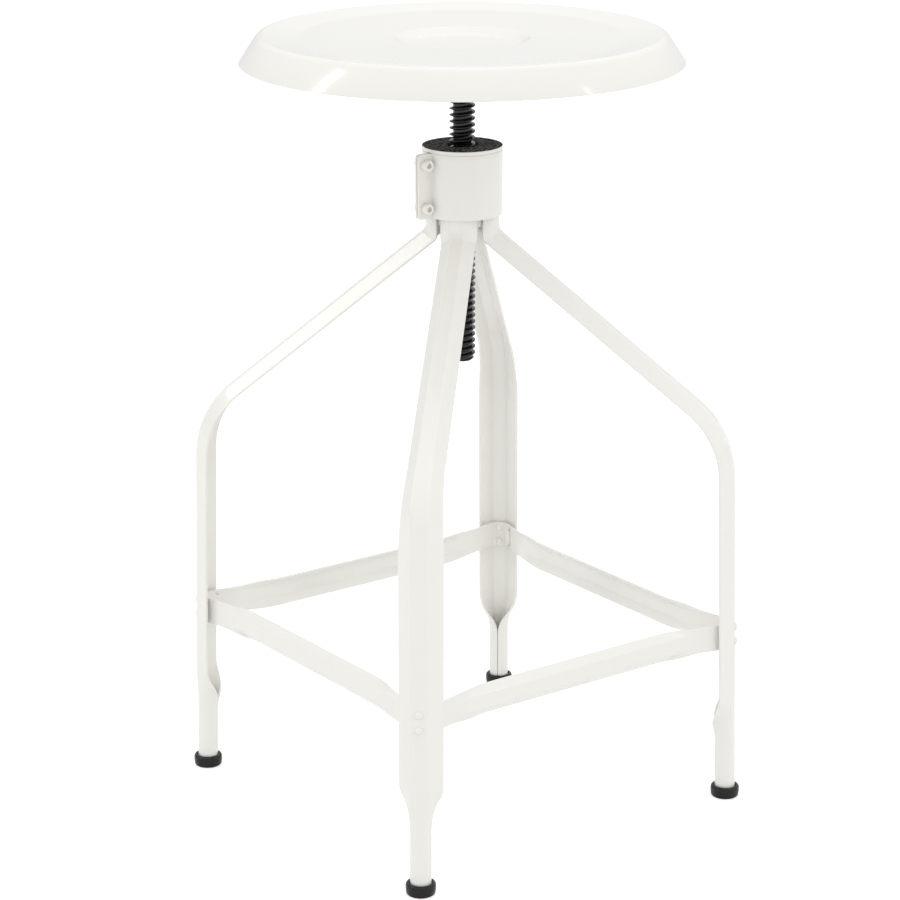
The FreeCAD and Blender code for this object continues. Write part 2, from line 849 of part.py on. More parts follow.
leg = leg_shape()
for place, angle in LEGS.items():
    nodes.append(group("leg_" + place, leg, [about_z(angle)]))
rail = rail_shape()
for place, angle in RAILS.items():
    nodes.append(group("stretcher_" + place, rail, [about_z(angle)]))
rivet = rivet_shape()
for place, angle in LEGS.items():
    nodes.append(group("rivets_" + place, rivet, [about_z(angle).multiply(p) for p in rivet_places()]))
    nodes.append(foot_glide("glide_" + place, angle))

doc.recompute()
for item in doc.Objects:
    if any(word in item.State for word in ("Invalid", "Error")):
        raise RuntimeError("%s: %s" % (item.Label, item.State))
for node in nodes:
    if node.Shape.isNull() or not node.Shape.isValid():
        raise RuntimeError("bad shape: " + node.Label)
    node.Shape.exportStep("parts/%s.step" % node.Label)
    print("%s: %.0f mm3, %d solids" % (node.Label, node.Shape.Volume, len(node.Shape.Solids)))
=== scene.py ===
import bpy
import math
from mathutils import Matrix, Vector


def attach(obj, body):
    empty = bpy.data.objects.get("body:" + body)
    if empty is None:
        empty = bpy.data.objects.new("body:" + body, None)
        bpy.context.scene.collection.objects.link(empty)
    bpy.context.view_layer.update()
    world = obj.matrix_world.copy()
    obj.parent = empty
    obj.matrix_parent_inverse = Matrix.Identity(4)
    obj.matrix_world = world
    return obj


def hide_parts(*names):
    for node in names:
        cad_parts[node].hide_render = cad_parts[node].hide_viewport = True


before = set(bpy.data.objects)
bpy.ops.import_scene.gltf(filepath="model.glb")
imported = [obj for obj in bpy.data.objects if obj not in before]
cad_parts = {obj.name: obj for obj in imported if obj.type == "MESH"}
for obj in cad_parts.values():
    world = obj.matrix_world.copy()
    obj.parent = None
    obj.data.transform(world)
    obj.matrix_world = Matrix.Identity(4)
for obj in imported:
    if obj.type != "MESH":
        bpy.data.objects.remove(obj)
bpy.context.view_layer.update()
mm = 0.001
jointGap = 0.05

# Lengths are millimetres until they are multiplied by mm, and angles in the dictionaries are degrees.
# The legs stand on the diagonals, and each is named by the corner it stands at.
legAngles = {"back_right": 45, "back_left": 135, "front_left": 225, "front_right": 315}
railAngles = {"front": 0, "right": 90, "back": 180, "left": 270}


# Selecting, finishing and sharing helpers


def deselectAll():
    if bpy.context.object and bpy.context.object.mode != "OBJECT":
        bpy.ops.object.mode_set(mode="OBJECT")
    bpy.ops.object.select_all(action="DESELECT")


def makeActive(piece):
    deselectAll()
    piece.select_set(True)
    bpy.context.view_layer.objects.active = piece


def applyModifier(piece, kind, **settings):
    makeActive(piece)
    modifier = piece.modifiers.new(kind.title(), kind)
    for key, value in settings.items():
        setattr(modifier, key, value)
    bpy.ops.object.modifier_apply(modifier=modifier.name)


def smoothByAngle(piece, degrees=35):
    makeActive(piece)
    bpy.ops.object.shade_smooth_by_angle(angle=math.radians(degrees))


def flipNormals(piece):
    makeActive(piece)
    bpy.ops.object.mode_set(mode="EDIT")
    bpy.ops.mesh.select_all(action="SELECT")
    bpy.ops.mesh.flip_normals()
    bpy.ops.object.mode_set(mode="OBJECT")


def ownCopy(piece, move):
    # a copy with its own mesh, moved by the matrix
    copy = piece.copy()
    copy.data = piece.data.copy()
    bpy.context.scene.collection.objects.link(copy)
    copy.data.transform(move)
    return copy


def copyTurned(piece, name, angle):
    # a copy turned about the stool's axis
    copy = ownCopy(piece, Matrix.Rotation(math.radians(angle), 4, "Z"))
    copy.name = copy.data.name = name
    return copy


def joined(pieces, name):
    makeActive(pieces[0])
    for piece in pieces[1:]:
        piece.select_set(True)
    bpy.ops.object.join()
    pieces[0].name = pieces[0].data.name = name
    return pieces[0]


def placed(piece, body, node):
    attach(piece, body)
    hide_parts(node)


def dressed(piece, body, material, node):
    piece.data.materials.clear()
    piece.data.materials.append(material)
    placed(piece, body, node)


# A line of corners (x, y, radius) as points in metres, each rounded corner as an arc.
def roundedLine(corners, arcStep=8.0):
    points = []
    for i, (x, y, radius) in enumerate(corners):
        here = Vector((x, y))
        if not radius or i in (0, len(corners) - 1):
            points.append(here * mm)
            continue
        back = (Vector(corners[i - 1][:2]) - here).normalized()
        ahead = (Vector(corners[i + 1][:2]) - here).normalized()
        turn = math.pi - back.angle(ahead)
        if turn < 1e-4:
            points.append(here * mm)
            continue
        trim = radius * math.tan(turn / 2)
        centre = here + (back + ahead).normalized() * (radius / math.cos(turn / 2))
        start, end = here + back * trim - centre, here + ahead * trim - centre
        steps = max(2, math.ceil(math.degrees(turn) / arcStep))
        way = 1 if start.x * end.y - start.y * end.x > 0 else -1
        for k in range(steps + 1):
            angle = way * turn * k / steps
            swung = Vector((
                start.x * math.cos(angle) - start.y * math.sin(angle),
                start.x * math.sin(angle) + start.y * math.cos(angle),
            ))
            points.append((centre + swung) * mm)
    return points


# An outline drawn point by point in the XZ plane. The piece is left in edit mode.
def drawnLine(name, outline, lift=0.0):
    deselectAll()
    bpy.ops.mesh.primitive_plane_add(size=1 * mm)
    piece = bpy.context.object
    piece.name = piece.data.name = name
    bpy.ops.object.mode_set(mode="EDIT")
    bpy.ops.mesh.select_all(action="SELECT")
    bpy.ops.mesh.merge(type="CENTER")
    bpy.ops.transform.translate(value=(outline[0].x, 0, outline[0].y + lift))
    for before, after in zip(outline, outline[1:]):
        step = (after.x - before.x, 0, after.y - before.y)
        bpy.ops.mesh.extrude_vertices_move(TRANSFORM_OT_translate={"value": step})
    return piece


# A turned piece: its outline is spun about Z.
def turnedPiece(name, outline, steps):
    piece = drawnLine(name, outline)
    bpy.ops.mesh.select_all(action="SELECT")
    bpy.ops.mesh.spin(steps=steps, angle=math.tau, center=(0, 0, 0), axis=(0, 0, 1))
    bpy.ops.mesh.select_all(action="SELECT")
    bpy.ops.mesh.remove_doubles(threshold=0.002 * mm)
    bpy.ops.mesh.normals_make_consistent(inside=False)
    bpy.ops.object.mode_set(mode="OBJECT")
    return piece


# A pressed piece: a flat blank is added as a grid, and each of its points goes where the press
# puts it. places is a list of rows along the blank, each a list of points across it.
def pressedBlank(name, places, outward):
    deselectAll()
    acrossCount, alongCount = len(places[0]) - 1, len(places) - 1
    bpy.ops.mesh.primitive_grid_add(x_subdivisions=acrossCount, y_subdivisions=alongCount, size=1)
    blank = bpy.context.object
    blank.name = blank.data.name = name
    for vertex in blank.data.vertices:
        i = round((vertex.co.x + 0.5) * acrossCount)
        j = round((vertex.co.y + 0.5) * alongCount)
        vertex.co = places[j][i]
    blank.data.update()
    middle = blank.data.polygons[len(blank.data.polygons) // 2]
    if middle.normal.dot(outward(middle.center)) < 0:
        flipNormals(blank)
    return blank


def thickened(piece, thickness, edge):
    applyModifier(piece, "SOLIDIFY", thickness=thickness * mm, offset=-1, use_even_offset=True)
    if edge:
        applyModifier(
            piece, "BEVEL", width=edge * mm, segments=2, limit_method="ANGLE",
            angle_limit=math.radians(62), harden_normals=False,
        )
    smoothByAngle(piece)


# Half a section of a strip, from its middle out. The heading grows by bend over the fold, and by
# roll for each millimetre. Each point is (t, w): across the strip, and inward from its outer face.
def halfSection(halfFlat, side, bend, roll, corner):
    flat = halfFlat - corner
    fold, pieces = 2 * corner, 4
    marks = [flat * k / 3 for k in range(1, 4)]
    marks += [flat + fold * k / 6 for k in range(1, 7)]
    marks += [flat + fold + (side - corner) * k / 10 for k in range(1, 11)]
    points, t, w, done = [(0.0, 0.0)], 0.0, 0.0, 0.0
    for mark in marks:
        for k in range(pieces):
            s = done + (mark - done) * (k + 0.5) / pieces
            ramp = min(max((s - flat) / fold, 0), 1)
            heading = bend * ramp + roll * s
            t += (mark - done) / pieces * math.cos(heading)
            w += (mark - done) / pieces * math.sin(heading)
        done = mark
        points.append((t, w))
    return points


def fullSection(*form):
    half = halfSection(*form)
    return [(-t, w) for t, w in reversed(half[1:])] + half


def mixed(first, second, share):
    return [a + (b - a) * share for a, b in zip(first, second)]


def eased(share):
    share = min(max(share, 0), 1)
    return (1 - math.cos(math.pi * share)) / 2


# Materials


def newMaterial(name):
    material = bpy.data.materials.new(name)
    material.use_nodes = True
    nodes, links = material.node_tree.nodes, material.node_tree.links
    shader = nodes["Principled BSDF"]
    place = nodes.new("ShaderNodeTexCoord")
    return material, nodes, links, shader, place


# Shared effect: the slight orange peel and cloudiness of a sprayed or dipped finish.
def makePeelGroup():
    group = bpy.data.node_groups.new("finishPeel", "ShaderNodeTree")
    for label, kind, value in (
        ("Place", "NodeSocketVector", None), ("Colour", "NodeSocketColor", None),
        ("Cloud Colour", "NodeSocketColor", None), ("Cloud Size", "NodeSocketFloat", 12.0),
        ("Peel Size", "NodeSocketFloat", 420.0), ("Roughness", "NodeSocketFloat", 0.3),
        ("Roughness Spread", "NodeSocketFloat", 0.05), ("Cloud Contrast", "NodeSocketFloat", 1.0),
    ):
        socket = group.interface.new_socket(name=label, in_out="INPUT", socket_type=kind)
        if value is not None:
            socket.default_value = value
    for label, kind in (
        ("Colour", "NodeSocketColor"), ("Roughness", "NodeSocketFloat"), ("Height", "NodeSocketFloat"),
    ):
        group.interface.new_socket(name=label, in_out="OUTPUT", socket_type=kind)
    nodes, links = group.nodes, group.links
    source = nodes.new("NodeGroupInput")
    result = nodes.new("NodeGroupOutput")
    cloud = nodes.new("ShaderNodeTexNoise")
    cloud.inputs["Detail"].default_value = 3
    peel = nodes.new("ShaderNodeTexNoise")
    peel.inputs["Detail"].default_value = 1.5
    links.new(source.outputs["Place"], cloud.inputs["Vector"])
    links.new(source.outputs["Cloud Size"], cloud.inputs["Scale"])
    links.new(source.outputs["Place"], peel.inputs["Vector"])
    links.new(source.outputs["Peel Size"], peel.inputs["Scale"])
    tint = nodes.new("ShaderNodeMix")
    tint.data_type = "RGBA"
    centred = nodes.new("ShaderNodeMath")
    centred.operation = "SUBTRACT"
    centred.inputs[1].default_value = 0.5
    links.new(cloud.outputs["Fac"], centred.inputs[0])
    sharper = nodes.new("ShaderNodeMath")
    sharper.operation = "MULTIPLY_ADD"
    sharper.use_clamp = True
    sharper.inputs[2].default_value = 0.5
    links.new(centred.outputs["Value"], sharper.inputs[0])
    links.new(source.outputs["Cloud Contrast"], sharper.inputs[1])
    links.new(sharper.outputs["Value"], tint.inputs["Factor"])
    links.new(source.outputs["Colour"], tint.inputs["A"])
    links.new(source.outputs["Cloud Colour"], tint.inputs["B"])
    links.new(tint.outputs["Result"], result.inputs["Colour"])
    spread = nodes.new("ShaderNodeMath")
    spread.operation = "MULTIPLY_ADD"
    links.new(centred.outputs["Value"], spread.inputs[0])
    links.new(source.outputs["Roughness Spread"], spread.inputs[1])
    links.new(source.outputs["Roughness"], spread.inputs[2])
    links.new(spread.outputs["Value"], result.inputs["Roughness"])
    links.new(peel.outputs["Fac"], result.inputs["Height"])
    return group


peelGroup = makePeelGroup()


def finished(name, look):
    # a paint, plating or moulding finish from one dictionary
    material, nodes, links, shader, place = newMaterial(name)
    effect = nodes.new("ShaderNodeGroup")
    effect.node_tree = peelGroup
    links.new(place.outputs["Object"], effect.inputs["Place"])
    effect.inputs["Colour"].default_value = (*look["colour"], 1)
    effect.inputs["Cloud Colour"].default_value = (*look["cloud"], 1)
    effect.inputs["Cloud Size"].default_value = look["cloudSize"]
    effect.inputs["Peel Size"].default_value = look["peelSize"]
    effect.inputs["Roughness"].default_value = look["roughness"]
    effect.inputs["Roughness Spread"].default_value = look["spread"]
    effect.inputs["Cloud Contrast"].default_value = look.get("contrast", 1)
    bump = nodes.new("ShaderNodeBump")
    bump.inputs["Strength"].default_value = look["peel"]
    bump.inputs["Distance"].default_value = look["peelDepth"] * mm
    links.new(effect.outputs["Height"], bump.inputs["Height"])
    links.new(effect.outputs["Colour"], shader.inputs["Base Color"])
    links.new(effect.outputs["Roughness"], shader.inputs["Roughness"])
    links.new(bump.outputs["Normal"], shader.inputs["Normal"])
    shader.inputs["Specular IOR Level"].default_value = look.get("specular", 0.5)
    shader.inputs["Coat Weight"].default_value = look.get("coat", 0)
    shader.inputs["Coat Roughness"].default_value = look.get("coatRoughness", 0.05)
    return material


powderCoat = finished("powderCoat", {
    "colour": (0.845, 0.835, 0.79), "cloud": (0.835, 0.825, 0.78), "cloudSize": 9.0,
    "peelSize": 700.0, "peel": 0.04, "peelDepth": 0.06, "roughness": 0.2, "spread": 0.04,
    "coat": 0.6, "coatRoughness": 0.06,
})
threadSteel = finished("threadSteel", {
    "colour": (0.003, 0.003, 0.003), "cloud": (0.008, 0.008, 0.008), "cloudSize": 160.0,
    "peelSize": 900.0, "peel": 0.05, "peelDepth": 0.04, "roughness": 0.1, "spread": 0.04,
    "specular": 0.5,
})
hammeredBlack = finished("hammeredBlack", {
    "colour": (0.001, 0.001, 0.001), "cloud": (0.12, 0.12, 0.12), "cloudSize": 620.0,
    "contrast": 9.0, "peelSize": 620.0, "peel": 0.3, "peelDepth": 0.2, "roughness": 0.7,
    "spread": 0.1, "specular": 0.02,
})
# Dark grey for the sunk hexagon's walls: painted shade inside the socket recess of a white-coated bolt
socketRecessShade = finished("socketRecessShade", {
    "colour": (0.09, 0.088, 0.08), "cloud": (0.13, 0.127, 0.12), "cloudSize": 300.0,
    "peelSize": 900.0, "peel": 0.05, "peelDepth": 0.05, "roughness": 0.5, "spread": 0.05,
})
plateSteel = finished("plateSteel", {
    "colour": (0.03, 0.03, 0.032), "cloud": (0.045, 0.045, 0.048), "cloudSize": 60.0,
    "peelSize": 700.0, "peel": 0.2, "peelDepth": 0.1, "roughness": 0.42, "spread": 0.08,
})
glideRubber = finished("glideRubber", {
    "colour": (0.004, 0.004, 0.004), "cloud": (0.008, 0.008, 0.008), "cloudSize": 90.0,
    "peelSize": 900.0, "peel": 0.1, "peelDepth": 0.05, "roughness": 0.22, "spread": 0.06,
    "specular": 0.35,
})


# Seat: a pan turned from its outline

seat = {
    "radius": 170, "height": 612, "sheet": 1.5, "skirtDrop": 20.5,
    "skirtFlare": 15, "crestRise": 1.1, "crestWidth": 29, "crestRound": 7, "dishRound": 60,
    "dishDepth": 3.2, "dishRise": 0.6, "dimpleRadius": 52, "dimpleWall": 7, "dimpleDepth": 4,
    "dimpleRound": 3, "edge": 0.4, "steps": 192,
}


def makeSeat():
    height = seat["height"]
    foot, crest = height - seat["skirtDrop"], seat["radius"] - seat["skirtFlare"]
    floor = height - seat["dishDepth"]
    deep = floor - seat["dimpleDepth"]
    outline = roundedLine([
        (seat["radius"], foot, 0),
        (crest, height + seat["crestRise"], seat["crestRound"]),
        (crest - seat["crestWidth"], floor + seat["dishRise"], seat["dishRound"]),
        (seat["dimpleRadius"], floor, seat["dimpleRound"]),
        (seat["dimpleRadius"] - seat["dimpleWall"], deep, seat["dimpleRound"]),
        (0, deep, 0),
    ], 4.0)
    piece = turnedPiece("seatPan", outline, seat["steps"])
    if piece.data.polygons[0].normal.z < 0:
        flipNormals(piece)
    thickened(piece, seat["sheet"], seat["edge"])
    return piece


seatPan = makeSeat()
dressed(seatPan, "seat", powderCoat, "seat_pan")
print("seat done")

# Screw: one turn of the thread's outline wound up the axis, and cut to its length and point

screw = {
    "crest": 10, "root": 7.1, "pitch": 5, "flank": 1.15, "land": 0.9, "length": 247,
    "point": 3, "rootRound": 0.4, "crestRound": 0.5, "spare": 0.3, "steps": 64, "phase": -40,
}


def makeScrew():
    top = seat["height"] - seat["dishDepth"] - seat["dimpleDepth"] - seat["sheet"] - jointGap
    foot = top - screw["length"]
    crest, root, pitch = screw["crest"], screw["root"], screw["pitch"]
    rootLand = pitch - screw["land"] - 2 * screw["flank"]
    turns = math.ceil((top - foot) / pitch) + 3
    start = foot - 1.5 * pitch
    rise = rootLand + screw["flank"]
    outline = roundedLine([
        (root, 0, 0), (root, rootLand, screw["rootRound"]), (crest, rise, screw["crestRound"]),
        (crest, rise + screw["land"], screw["crestRound"]), (root, pitch, 0),
    ], 30.0)
    piece = drawnLine("threadedSpindle", outline, start * mm)
    bpy.ops.object.mode_set(mode="OBJECT")
    applyModifier(
        piece, "SCREW", screw_offset=pitch * mm, iterations=turns, steps=screw["steps"],
        render_steps=screw["steps"], angle=math.tau, axis="Z", use_merge_vertices=True,
        merge_threshold=0.005 * mm,
    )
    piece.data.transform(Matrix.Rotation(math.radians(screw["phase"]), 4, "Z"))
    makeActive(piece)
    bpy.ops.object.mode_set(mode="EDIT")
    for height, way in ((foot, -1), (top, 1)):
        bpy.ops.mesh.select_all(action="SELECT")
        bpy.ops.mesh.bisect(
            plane_co=(0, 0, height * mm), plane_no=(0, 0, way), use_fill=True, clear_outer=True,
            threshold=0.001 * mm,
        )
    bpy.ops.mesh.select_all(action="SELECT")
    bpy.ops.mesh.remove_doubles(threshold=0.004 * mm)
    bpy.ops.mesh.normals_make_consistent(inside=False)
    bpy.ops.object.mode_set(mode="OBJECT")
    wide = crest + screw["spare"]
    cone = turnedPiece("pointForm", [
        Vector(p) * mm for p in (
            (0, foot), (crest - screw["point"], foot), (wide, foot + screw["point"] + screw["spare"]),
            (wide, top), (0, top),
        )
    ], 96)
    applyModifier(piece, "BOOLEAN", object=cone, operation="INTERSECT", solver="EXACT")
    bpy.data.objects.remove(cone)
    smoothByAngle(piece, 40)
    return piece


threadedSpindle = makeScrew()
dressed(threadedSpindle, "seat", threadSteel, "spindle")
print("screw done")

# Hub: coated like the frame, with a bare black face round the screw, and the collar's sizes

hub = {
    "top": 526.7, "length": 60.7, "core": 21.0, "rim": 3, "mouth": 2.5, "gap": 0.05,
    "edge": 0.6, "under": 0.7, "mouthRound": 0.4, "bare": 0.3, "steps": 160,
}
collar = {
    "sheet": 2.1, "height": 50.2, "inner": 29.0, "earReach": 43, "slit": 1, "bend": 0.75,
    "earRound": 3, "edge": 0.35, "steps": 120,
}


def makeHub():
    top, under = hub["top"], hub["top"] - hub["rim"]
    bore, rimRadius = screw["crest"] + hub["gap"], collar["inner"] + collar["sheet"]
    piece = turnedPiece("screwHubTurned", roundedLine([
        (bore, top - hub["length"], 0), (hub["core"], top - hub["length"], 0), (hub["core"], under, 0),
        (rimRadius, under, hub["under"]), (rimRadius, top, hub["edge"]),
        (bore + hub["mouth"], top, hub["mouthRound"]), (bore, top - hub["mouth"], 0),
        (bore, top - hub["length"], 0),
    ], 15.0), hub["steps"])
    smoothByAngle(piece, 30)
    return piece


screwHub = makeHub()
dressed(screwHub, "frame", powderCoat, "screw_hub")
screwHub.data.materials.append(hammeredBlack)
bareReach = (collar["inner"] + collar["sheet"] - hub["edge"] * 0.5) * mm
for face in screwHub.data.polygons:
    reach = math.hypot(face.center.x, face.center.y)
    atTop = face.center.z > (hub["top"] - hub["bare"]) * mm and reach < bareReach
    if atTop or reach < (screw["crest"] + hub["mouth"]) * mm:
        face.material_index = 1
print("hub done")

# Collar: a band with two ears, bent from one strip


def collarPath():
    # the outer face in plan from one ear's tip to the other's, and each point's way from its tip
    outer = collar["inner"] + collar["sheet"]
    half = collar["slit"] / 2 + collar["sheet"]
    first = math.degrees(math.asin(half / outer))
    count = collar["steps"]
    arc = [180 + first + (360 - 2 * first) * k / count for k in range(count + 1)]
    corners = [(-collar["earReach"], -half, 0)]
    for angle in arc:
        place = (outer * math.cos(math.radians(angle)), outer * math.sin(math.radians(angle)))
        atEar = angle in (arc[0], arc[-1])
        corners.append((*place, collar["bend"] if atEar else 0))
    corners.append((-collar["earReach"], half, 0))
    points = [p / mm for p in roundedLine(corners, 12.0)]
    along = [k * collar["earRound"] / 6 for k in range(1, 7)]
    lead = [points[0] + Vector((step, 0)) for step in along]
    tail = [points[-1] + Vector((step, 0)) for step in reversed(along)]
    line = points[:1] + lead + points[1:-1] + tail + points[-1:]
    ends = 2 * len(along) + 2
    tips = [0.0] + along + [collar["earRound"]] * (len(line) - ends) + along[::-1] + [0.0]
    return line, tips


def makeCollar():
    top = hub["top"] - hub["rim"] - jointGap
    middle, half = top - collar["height"] / 2, collar["height"] / 2
    line, tips = collarPath()
    places = []
    for point, tip in zip(line, tips):
        rest = collar["earRound"] - tip
        reach = half - collar["earRound"] + math.sqrt(collar["earRound"] ** 2 - rest ** 2)
        places.append([
            Vector((point.x, point.y, middle + reach * k / 6)) * mm for k in range(-6, 7)
        ])
    piece = pressedBlank("clampCollarBent", places, lambda centre: Vector((centre.x, centre.y, 0)))
    thickened(piece, collar["sheet"], collar["edge"])
    return piece


dressed(makeCollar(), "frame", powderCoat, "clamp_collar")
print("collar done")

# Clamp bolts with sunk hexagons, and their nuts. Each is made upright and laid along Y.

bolt = {
    "reach": 36.6, "spacing": 33.6, "radius": 2.5, "headRadius": 4.25, "head": 5, "key": 4,
    "length": 12, "nutFlats": 8, "nut": 4, "round": 0.5, "tipRound": 0.4, "seatRound": 0.3,
    "nutEdge": 0.4, "nutMouth": 0.5, "nutBevel": 0.6, "spare": 0.1, "steps": 64,
}


def acrossEars(piece, name):
    middle = hub["top"] - hub["rim"] - jointGap - collar["height"] / 2
    copies = []
    for way in (1, -1):
        place = Vector((-bolt["reach"], 0, middle + way * bolt["spacing"] / 2)) * mm
        laid = Matrix.Translation(place) @ Matrix.Rotation(math.pi / 2, 4, "X")
        copies.append(ownCopy(piece, laid))
    bpy.data.objects.remove(piece)
    return joined(copies, name)


def hexagonBar(name, flats, low, high):
    deselectAll()
    bpy.ops.mesh.primitive_cylinder_add(
        vertices=6, radius=flats / math.sqrt(3) * mm, depth=(high - low) * mm,
        location=(0, 0, (low + high) / 2 * mm),
    )
    bpy.ops.object.transform_apply(location=True, rotation=True, scale=True)
    bar = bpy.context.object
    bar.name = bar.data.name = name
    return bar


def makeBolts():
    face = collar["slit"] / 2 + collar["sheet"] + jointGap
    head, tip = face + bolt["head"], face - bolt["length"]
    piece = turnedPiece("capScrew", roundedLine([
        (0, tip, 0), (bolt["radius"], tip, bolt["tipRound"]), (bolt["radius"], face, 0),
        (bolt["headRadius"], face, bolt["seatRound"]), (bolt["headRadius"], head, bolt["round"]),
        (0, head, 0),
    ], 15.0), bolt["steps"])
    socket = hexagonBar("socketForm", bolt["key"], head - bolt["head"] / 2, head + 1)
    piece.data.materials.append(powderCoat)
    # the socket's walls take the dark grey, painted shade in the recess
    socket.data.materials.append(socketRecessShade)
    applyModifier(piece, "BOOLEAN", object=socket, operation="DIFFERENCE", solver="EXACT")
    bpy.data.objects.remove(socket)
    smoothByAngle(piece, 30)
    return acrossEars(piece, "clampBoltsTurned")


def makeNuts():
    face = -(collar["slit"] / 2 + collar["sheet"] + jointGap)
    far = face - bolt["nut"]
    wide, bore = bolt["nutFlats"] / math.sqrt(3), bolt["radius"] + jointGap
    piece = hexagonBar("nutForm", bolt["nutFlats"], far, face)
    form = turnedPiece("nutChamfer", roundedLine([
        (bore, far + bolt["nutEdge"], 0), (bolt["radius"] + bolt["nutMouth"], far, 0),
        (wide - bolt["nutBevel"], far, 0), (wide + bolt["spare"], far + bolt["nutEdge"], 0),
        (wide + bolt["spare"], face, 0), (bore, face, 0), (bore, far + bolt["nutEdge"], 0),
    ], 15.0), bolt["steps"])
    applyModifier(piece, "BOOLEAN", object=form, operation="INTERSECT", solver="EXACT")
    bpy.data.objects.remove(form)
    smoothByAngle(piece, 30)
    return acrossEars(piece, "clampNutsCut")


placed(makeBolts(), "frame", "clamp_bolts")
dressed(makeNuts(), "frame", powderCoat, "clamp_nuts")
print("bolts done")

# Legs and rails: the legs stand on the diagonals, and the rails' ends lie inside them

leg = {
    "sheet": 2, "reach": 218.3, "splay": 1.45, "foldHeight": 460.6, "foldRound": 8, "foldRun": 6,
    "slope": 39.8, "kneeRound": 80, "tubeRadius": 8.25, "tubeFoot": 4, "tubeLength": 46,
    "rolling": 38, "seam": 0.5, "tabRound": 15.2, "corner": 1.2, "edge": 0.3,
    "foldSteps": 10, "slopeSteps": 8, "kneeSteps": 20, "lowerSteps": 6, "rollSteps": 22,
    "tubeSteps": 3,
}
rail = {
    "height": 139, "inset": 10, "sheet": 1.5, "halfWeb": 6.25, "flange": 8.2, "bend": 45,
    "tabHalf": 10.5, "tabLap": 10, "tabRound": 4.5, "flare": 31, "fade": 36, "corner": 1.05,
    "edge": 0.25, "flareRound": 60, "nestRound": 5.5, "tipSpare": 2, "fadeSpare": 8,
    "leanRun": 25, "spacing": 3.0,
}


def legOuter(height):
    return leg["reach"] + math.tan(math.radians(leg["splay"])) * (rail["height"] - height)


tabReach = collar["inner"] - jointGap
around = math.pi * leg["tubeRadius"] - leg["seam"] / 2
# The sections along the leg: half of the flat, side, bend and roll.
legForms = {
    "tab": [4.4, 15.2, 0.0, 1 / leg["tabRound"]],
    "slope": [4.4, 14.1, math.radians(50.5), 0.0],
    "knee": [5.8, 13.1, math.radians(51.5), 0.0],
    "lower": [6.5, 14.85, math.radians(45), 0.0],
    "tube": [6.5, around - 6.5, 0.0, 1 / leg["tubeRadius"]],
}


# Where the strip leans from upright, a millimetre of depth as a step in reach and height.
def inwardStep(lean, stretch=1.0):
    return -stretch * math.cos(lean), -stretch * math.sin(lean)


# Reach, height, way inward and form of each row of the leg's blank, from the hub to the foot.
def legRows():
    slopeLean = math.radians(90 - leg["slope"])
    splay = math.radians(leg["splay"])
    top = hub["top"] - hub["rim"] - 2 * jointGap
    fold = leg["foldRound"]
    start = leg["foldHeight"] + fold * math.tan(slopeLean / 2)
    mitre = inwardStep(slopeLean / 2, 1 / math.cos(slopeLean / 2))
    rows = [(tabReach, top, inwardStep(0), legForms["tab"])]
    for k in range(leg["foldSteps"] + 1):
        share = k / leg["foldSteps"]
        lean = slopeLean * share
        reach = tabReach + fold * (1 - math.cos(lean))
        form = mixed(legForms["tab"], legForms["slope"], eased(share))
        rows.append((reach, start - fold * math.sin(lean), mitre, form))
    reach, height = rows[-1][:2]
    reach += leg["foldRun"] * math.sin(slopeLean)
    height -= leg["foldRun"] * math.cos(slopeLean)
    rows.append((reach, height, inwardStep(slopeLean), legForms["slope"]))
    steep, splayed = 1 / math.tan(slopeLean), math.tan(splay)
    cornerHeight = (reach + height / steep - legOuter(0)) / (1 / steep - splayed)
    knee = leg["kneeRound"]
    setback = knee * math.tan((slopeLean - splay) / 2)
    centreReach = legOuter(cornerHeight) + setback * math.sin(splay) - knee * math.cos(splay)
    centreHeight = cornerHeight - setback * math.cos(splay) - knee * math.sin(splay)
    kneeStart = (centreReach + knee * math.cos(slopeLean), centreHeight + knee * math.sin(slopeLean))
    for k in range(1, leg["slopeSteps"]):
        share = k / leg["slopeSteps"]
        rows.append((
            reach + (kneeStart[0] - reach) * share, height + (kneeStart[1] - height) * share,
            inwardStep(slopeLean), mixed(legForms["slope"], legForms["knee"], share),
        ))
    for k in range(leg["kneeSteps"] + 1):
        share = k / leg["kneeSteps"]
        lean = slopeLean + (splay - slopeLean) * share
        rows.append((
            centreReach + knee * math.cos(lean), centreHeight + knee * math.sin(lean),
            inwardStep(lean), mixed(legForms["knee"], legForms["lower"], share),
        ))
    shut = leg["tubeFoot"] + leg["tubeLength"]
    opened = shut + leg["rolling"]
    last = rows[-1][1]
    for k in range(1, leg["lowerSteps"] + 1):
        height = last + (opened - last) * k / leg["lowerSteps"]
        rows.append((legOuter(height), height, inwardStep(0), legForms["lower"]))
    for k in range(1, leg["rollSteps"] + 1):
        share = k / leg["rollSteps"]
        height = opened + (shut - opened) * share
        form = mixed(legForms["lower"], legForms["tube"], eased(share))
        rows.append((legOuter(height), height, inwardStep(0), form))
    for k in range(1, leg["tubeSteps"] + 1):
        height = shut + (leg["tubeFoot"] - shut) * k / leg["tubeSteps"]
        rows.append((legOuter(height), height, inwardStep(0), legForms["tube"]))
    return rows


def makeLeg():
    places = []
    for reach, height, (inStep, upStep), form in legRows():
        places.append([
            Vector((reach + w * inStep, t, height + w * upStep)) * mm
            for t, w in fullSection(*form, leg["corner"])
        ])
    piece = pressedBlank("leg", places, lambda centre: Vector((1, 0, 0)))
    thickened(piece, leg["sheet"], leg["edge"])
    return piece


def inPlan(legAngle, t, w):
    angle = math.radians(legAngle)
    reach = legOuter(rail["height"]) - w
    return (
        reach * math.cos(angle) - t * math.sin(angle),
        reach * math.sin(angle) + t * math.cos(angle),
    )


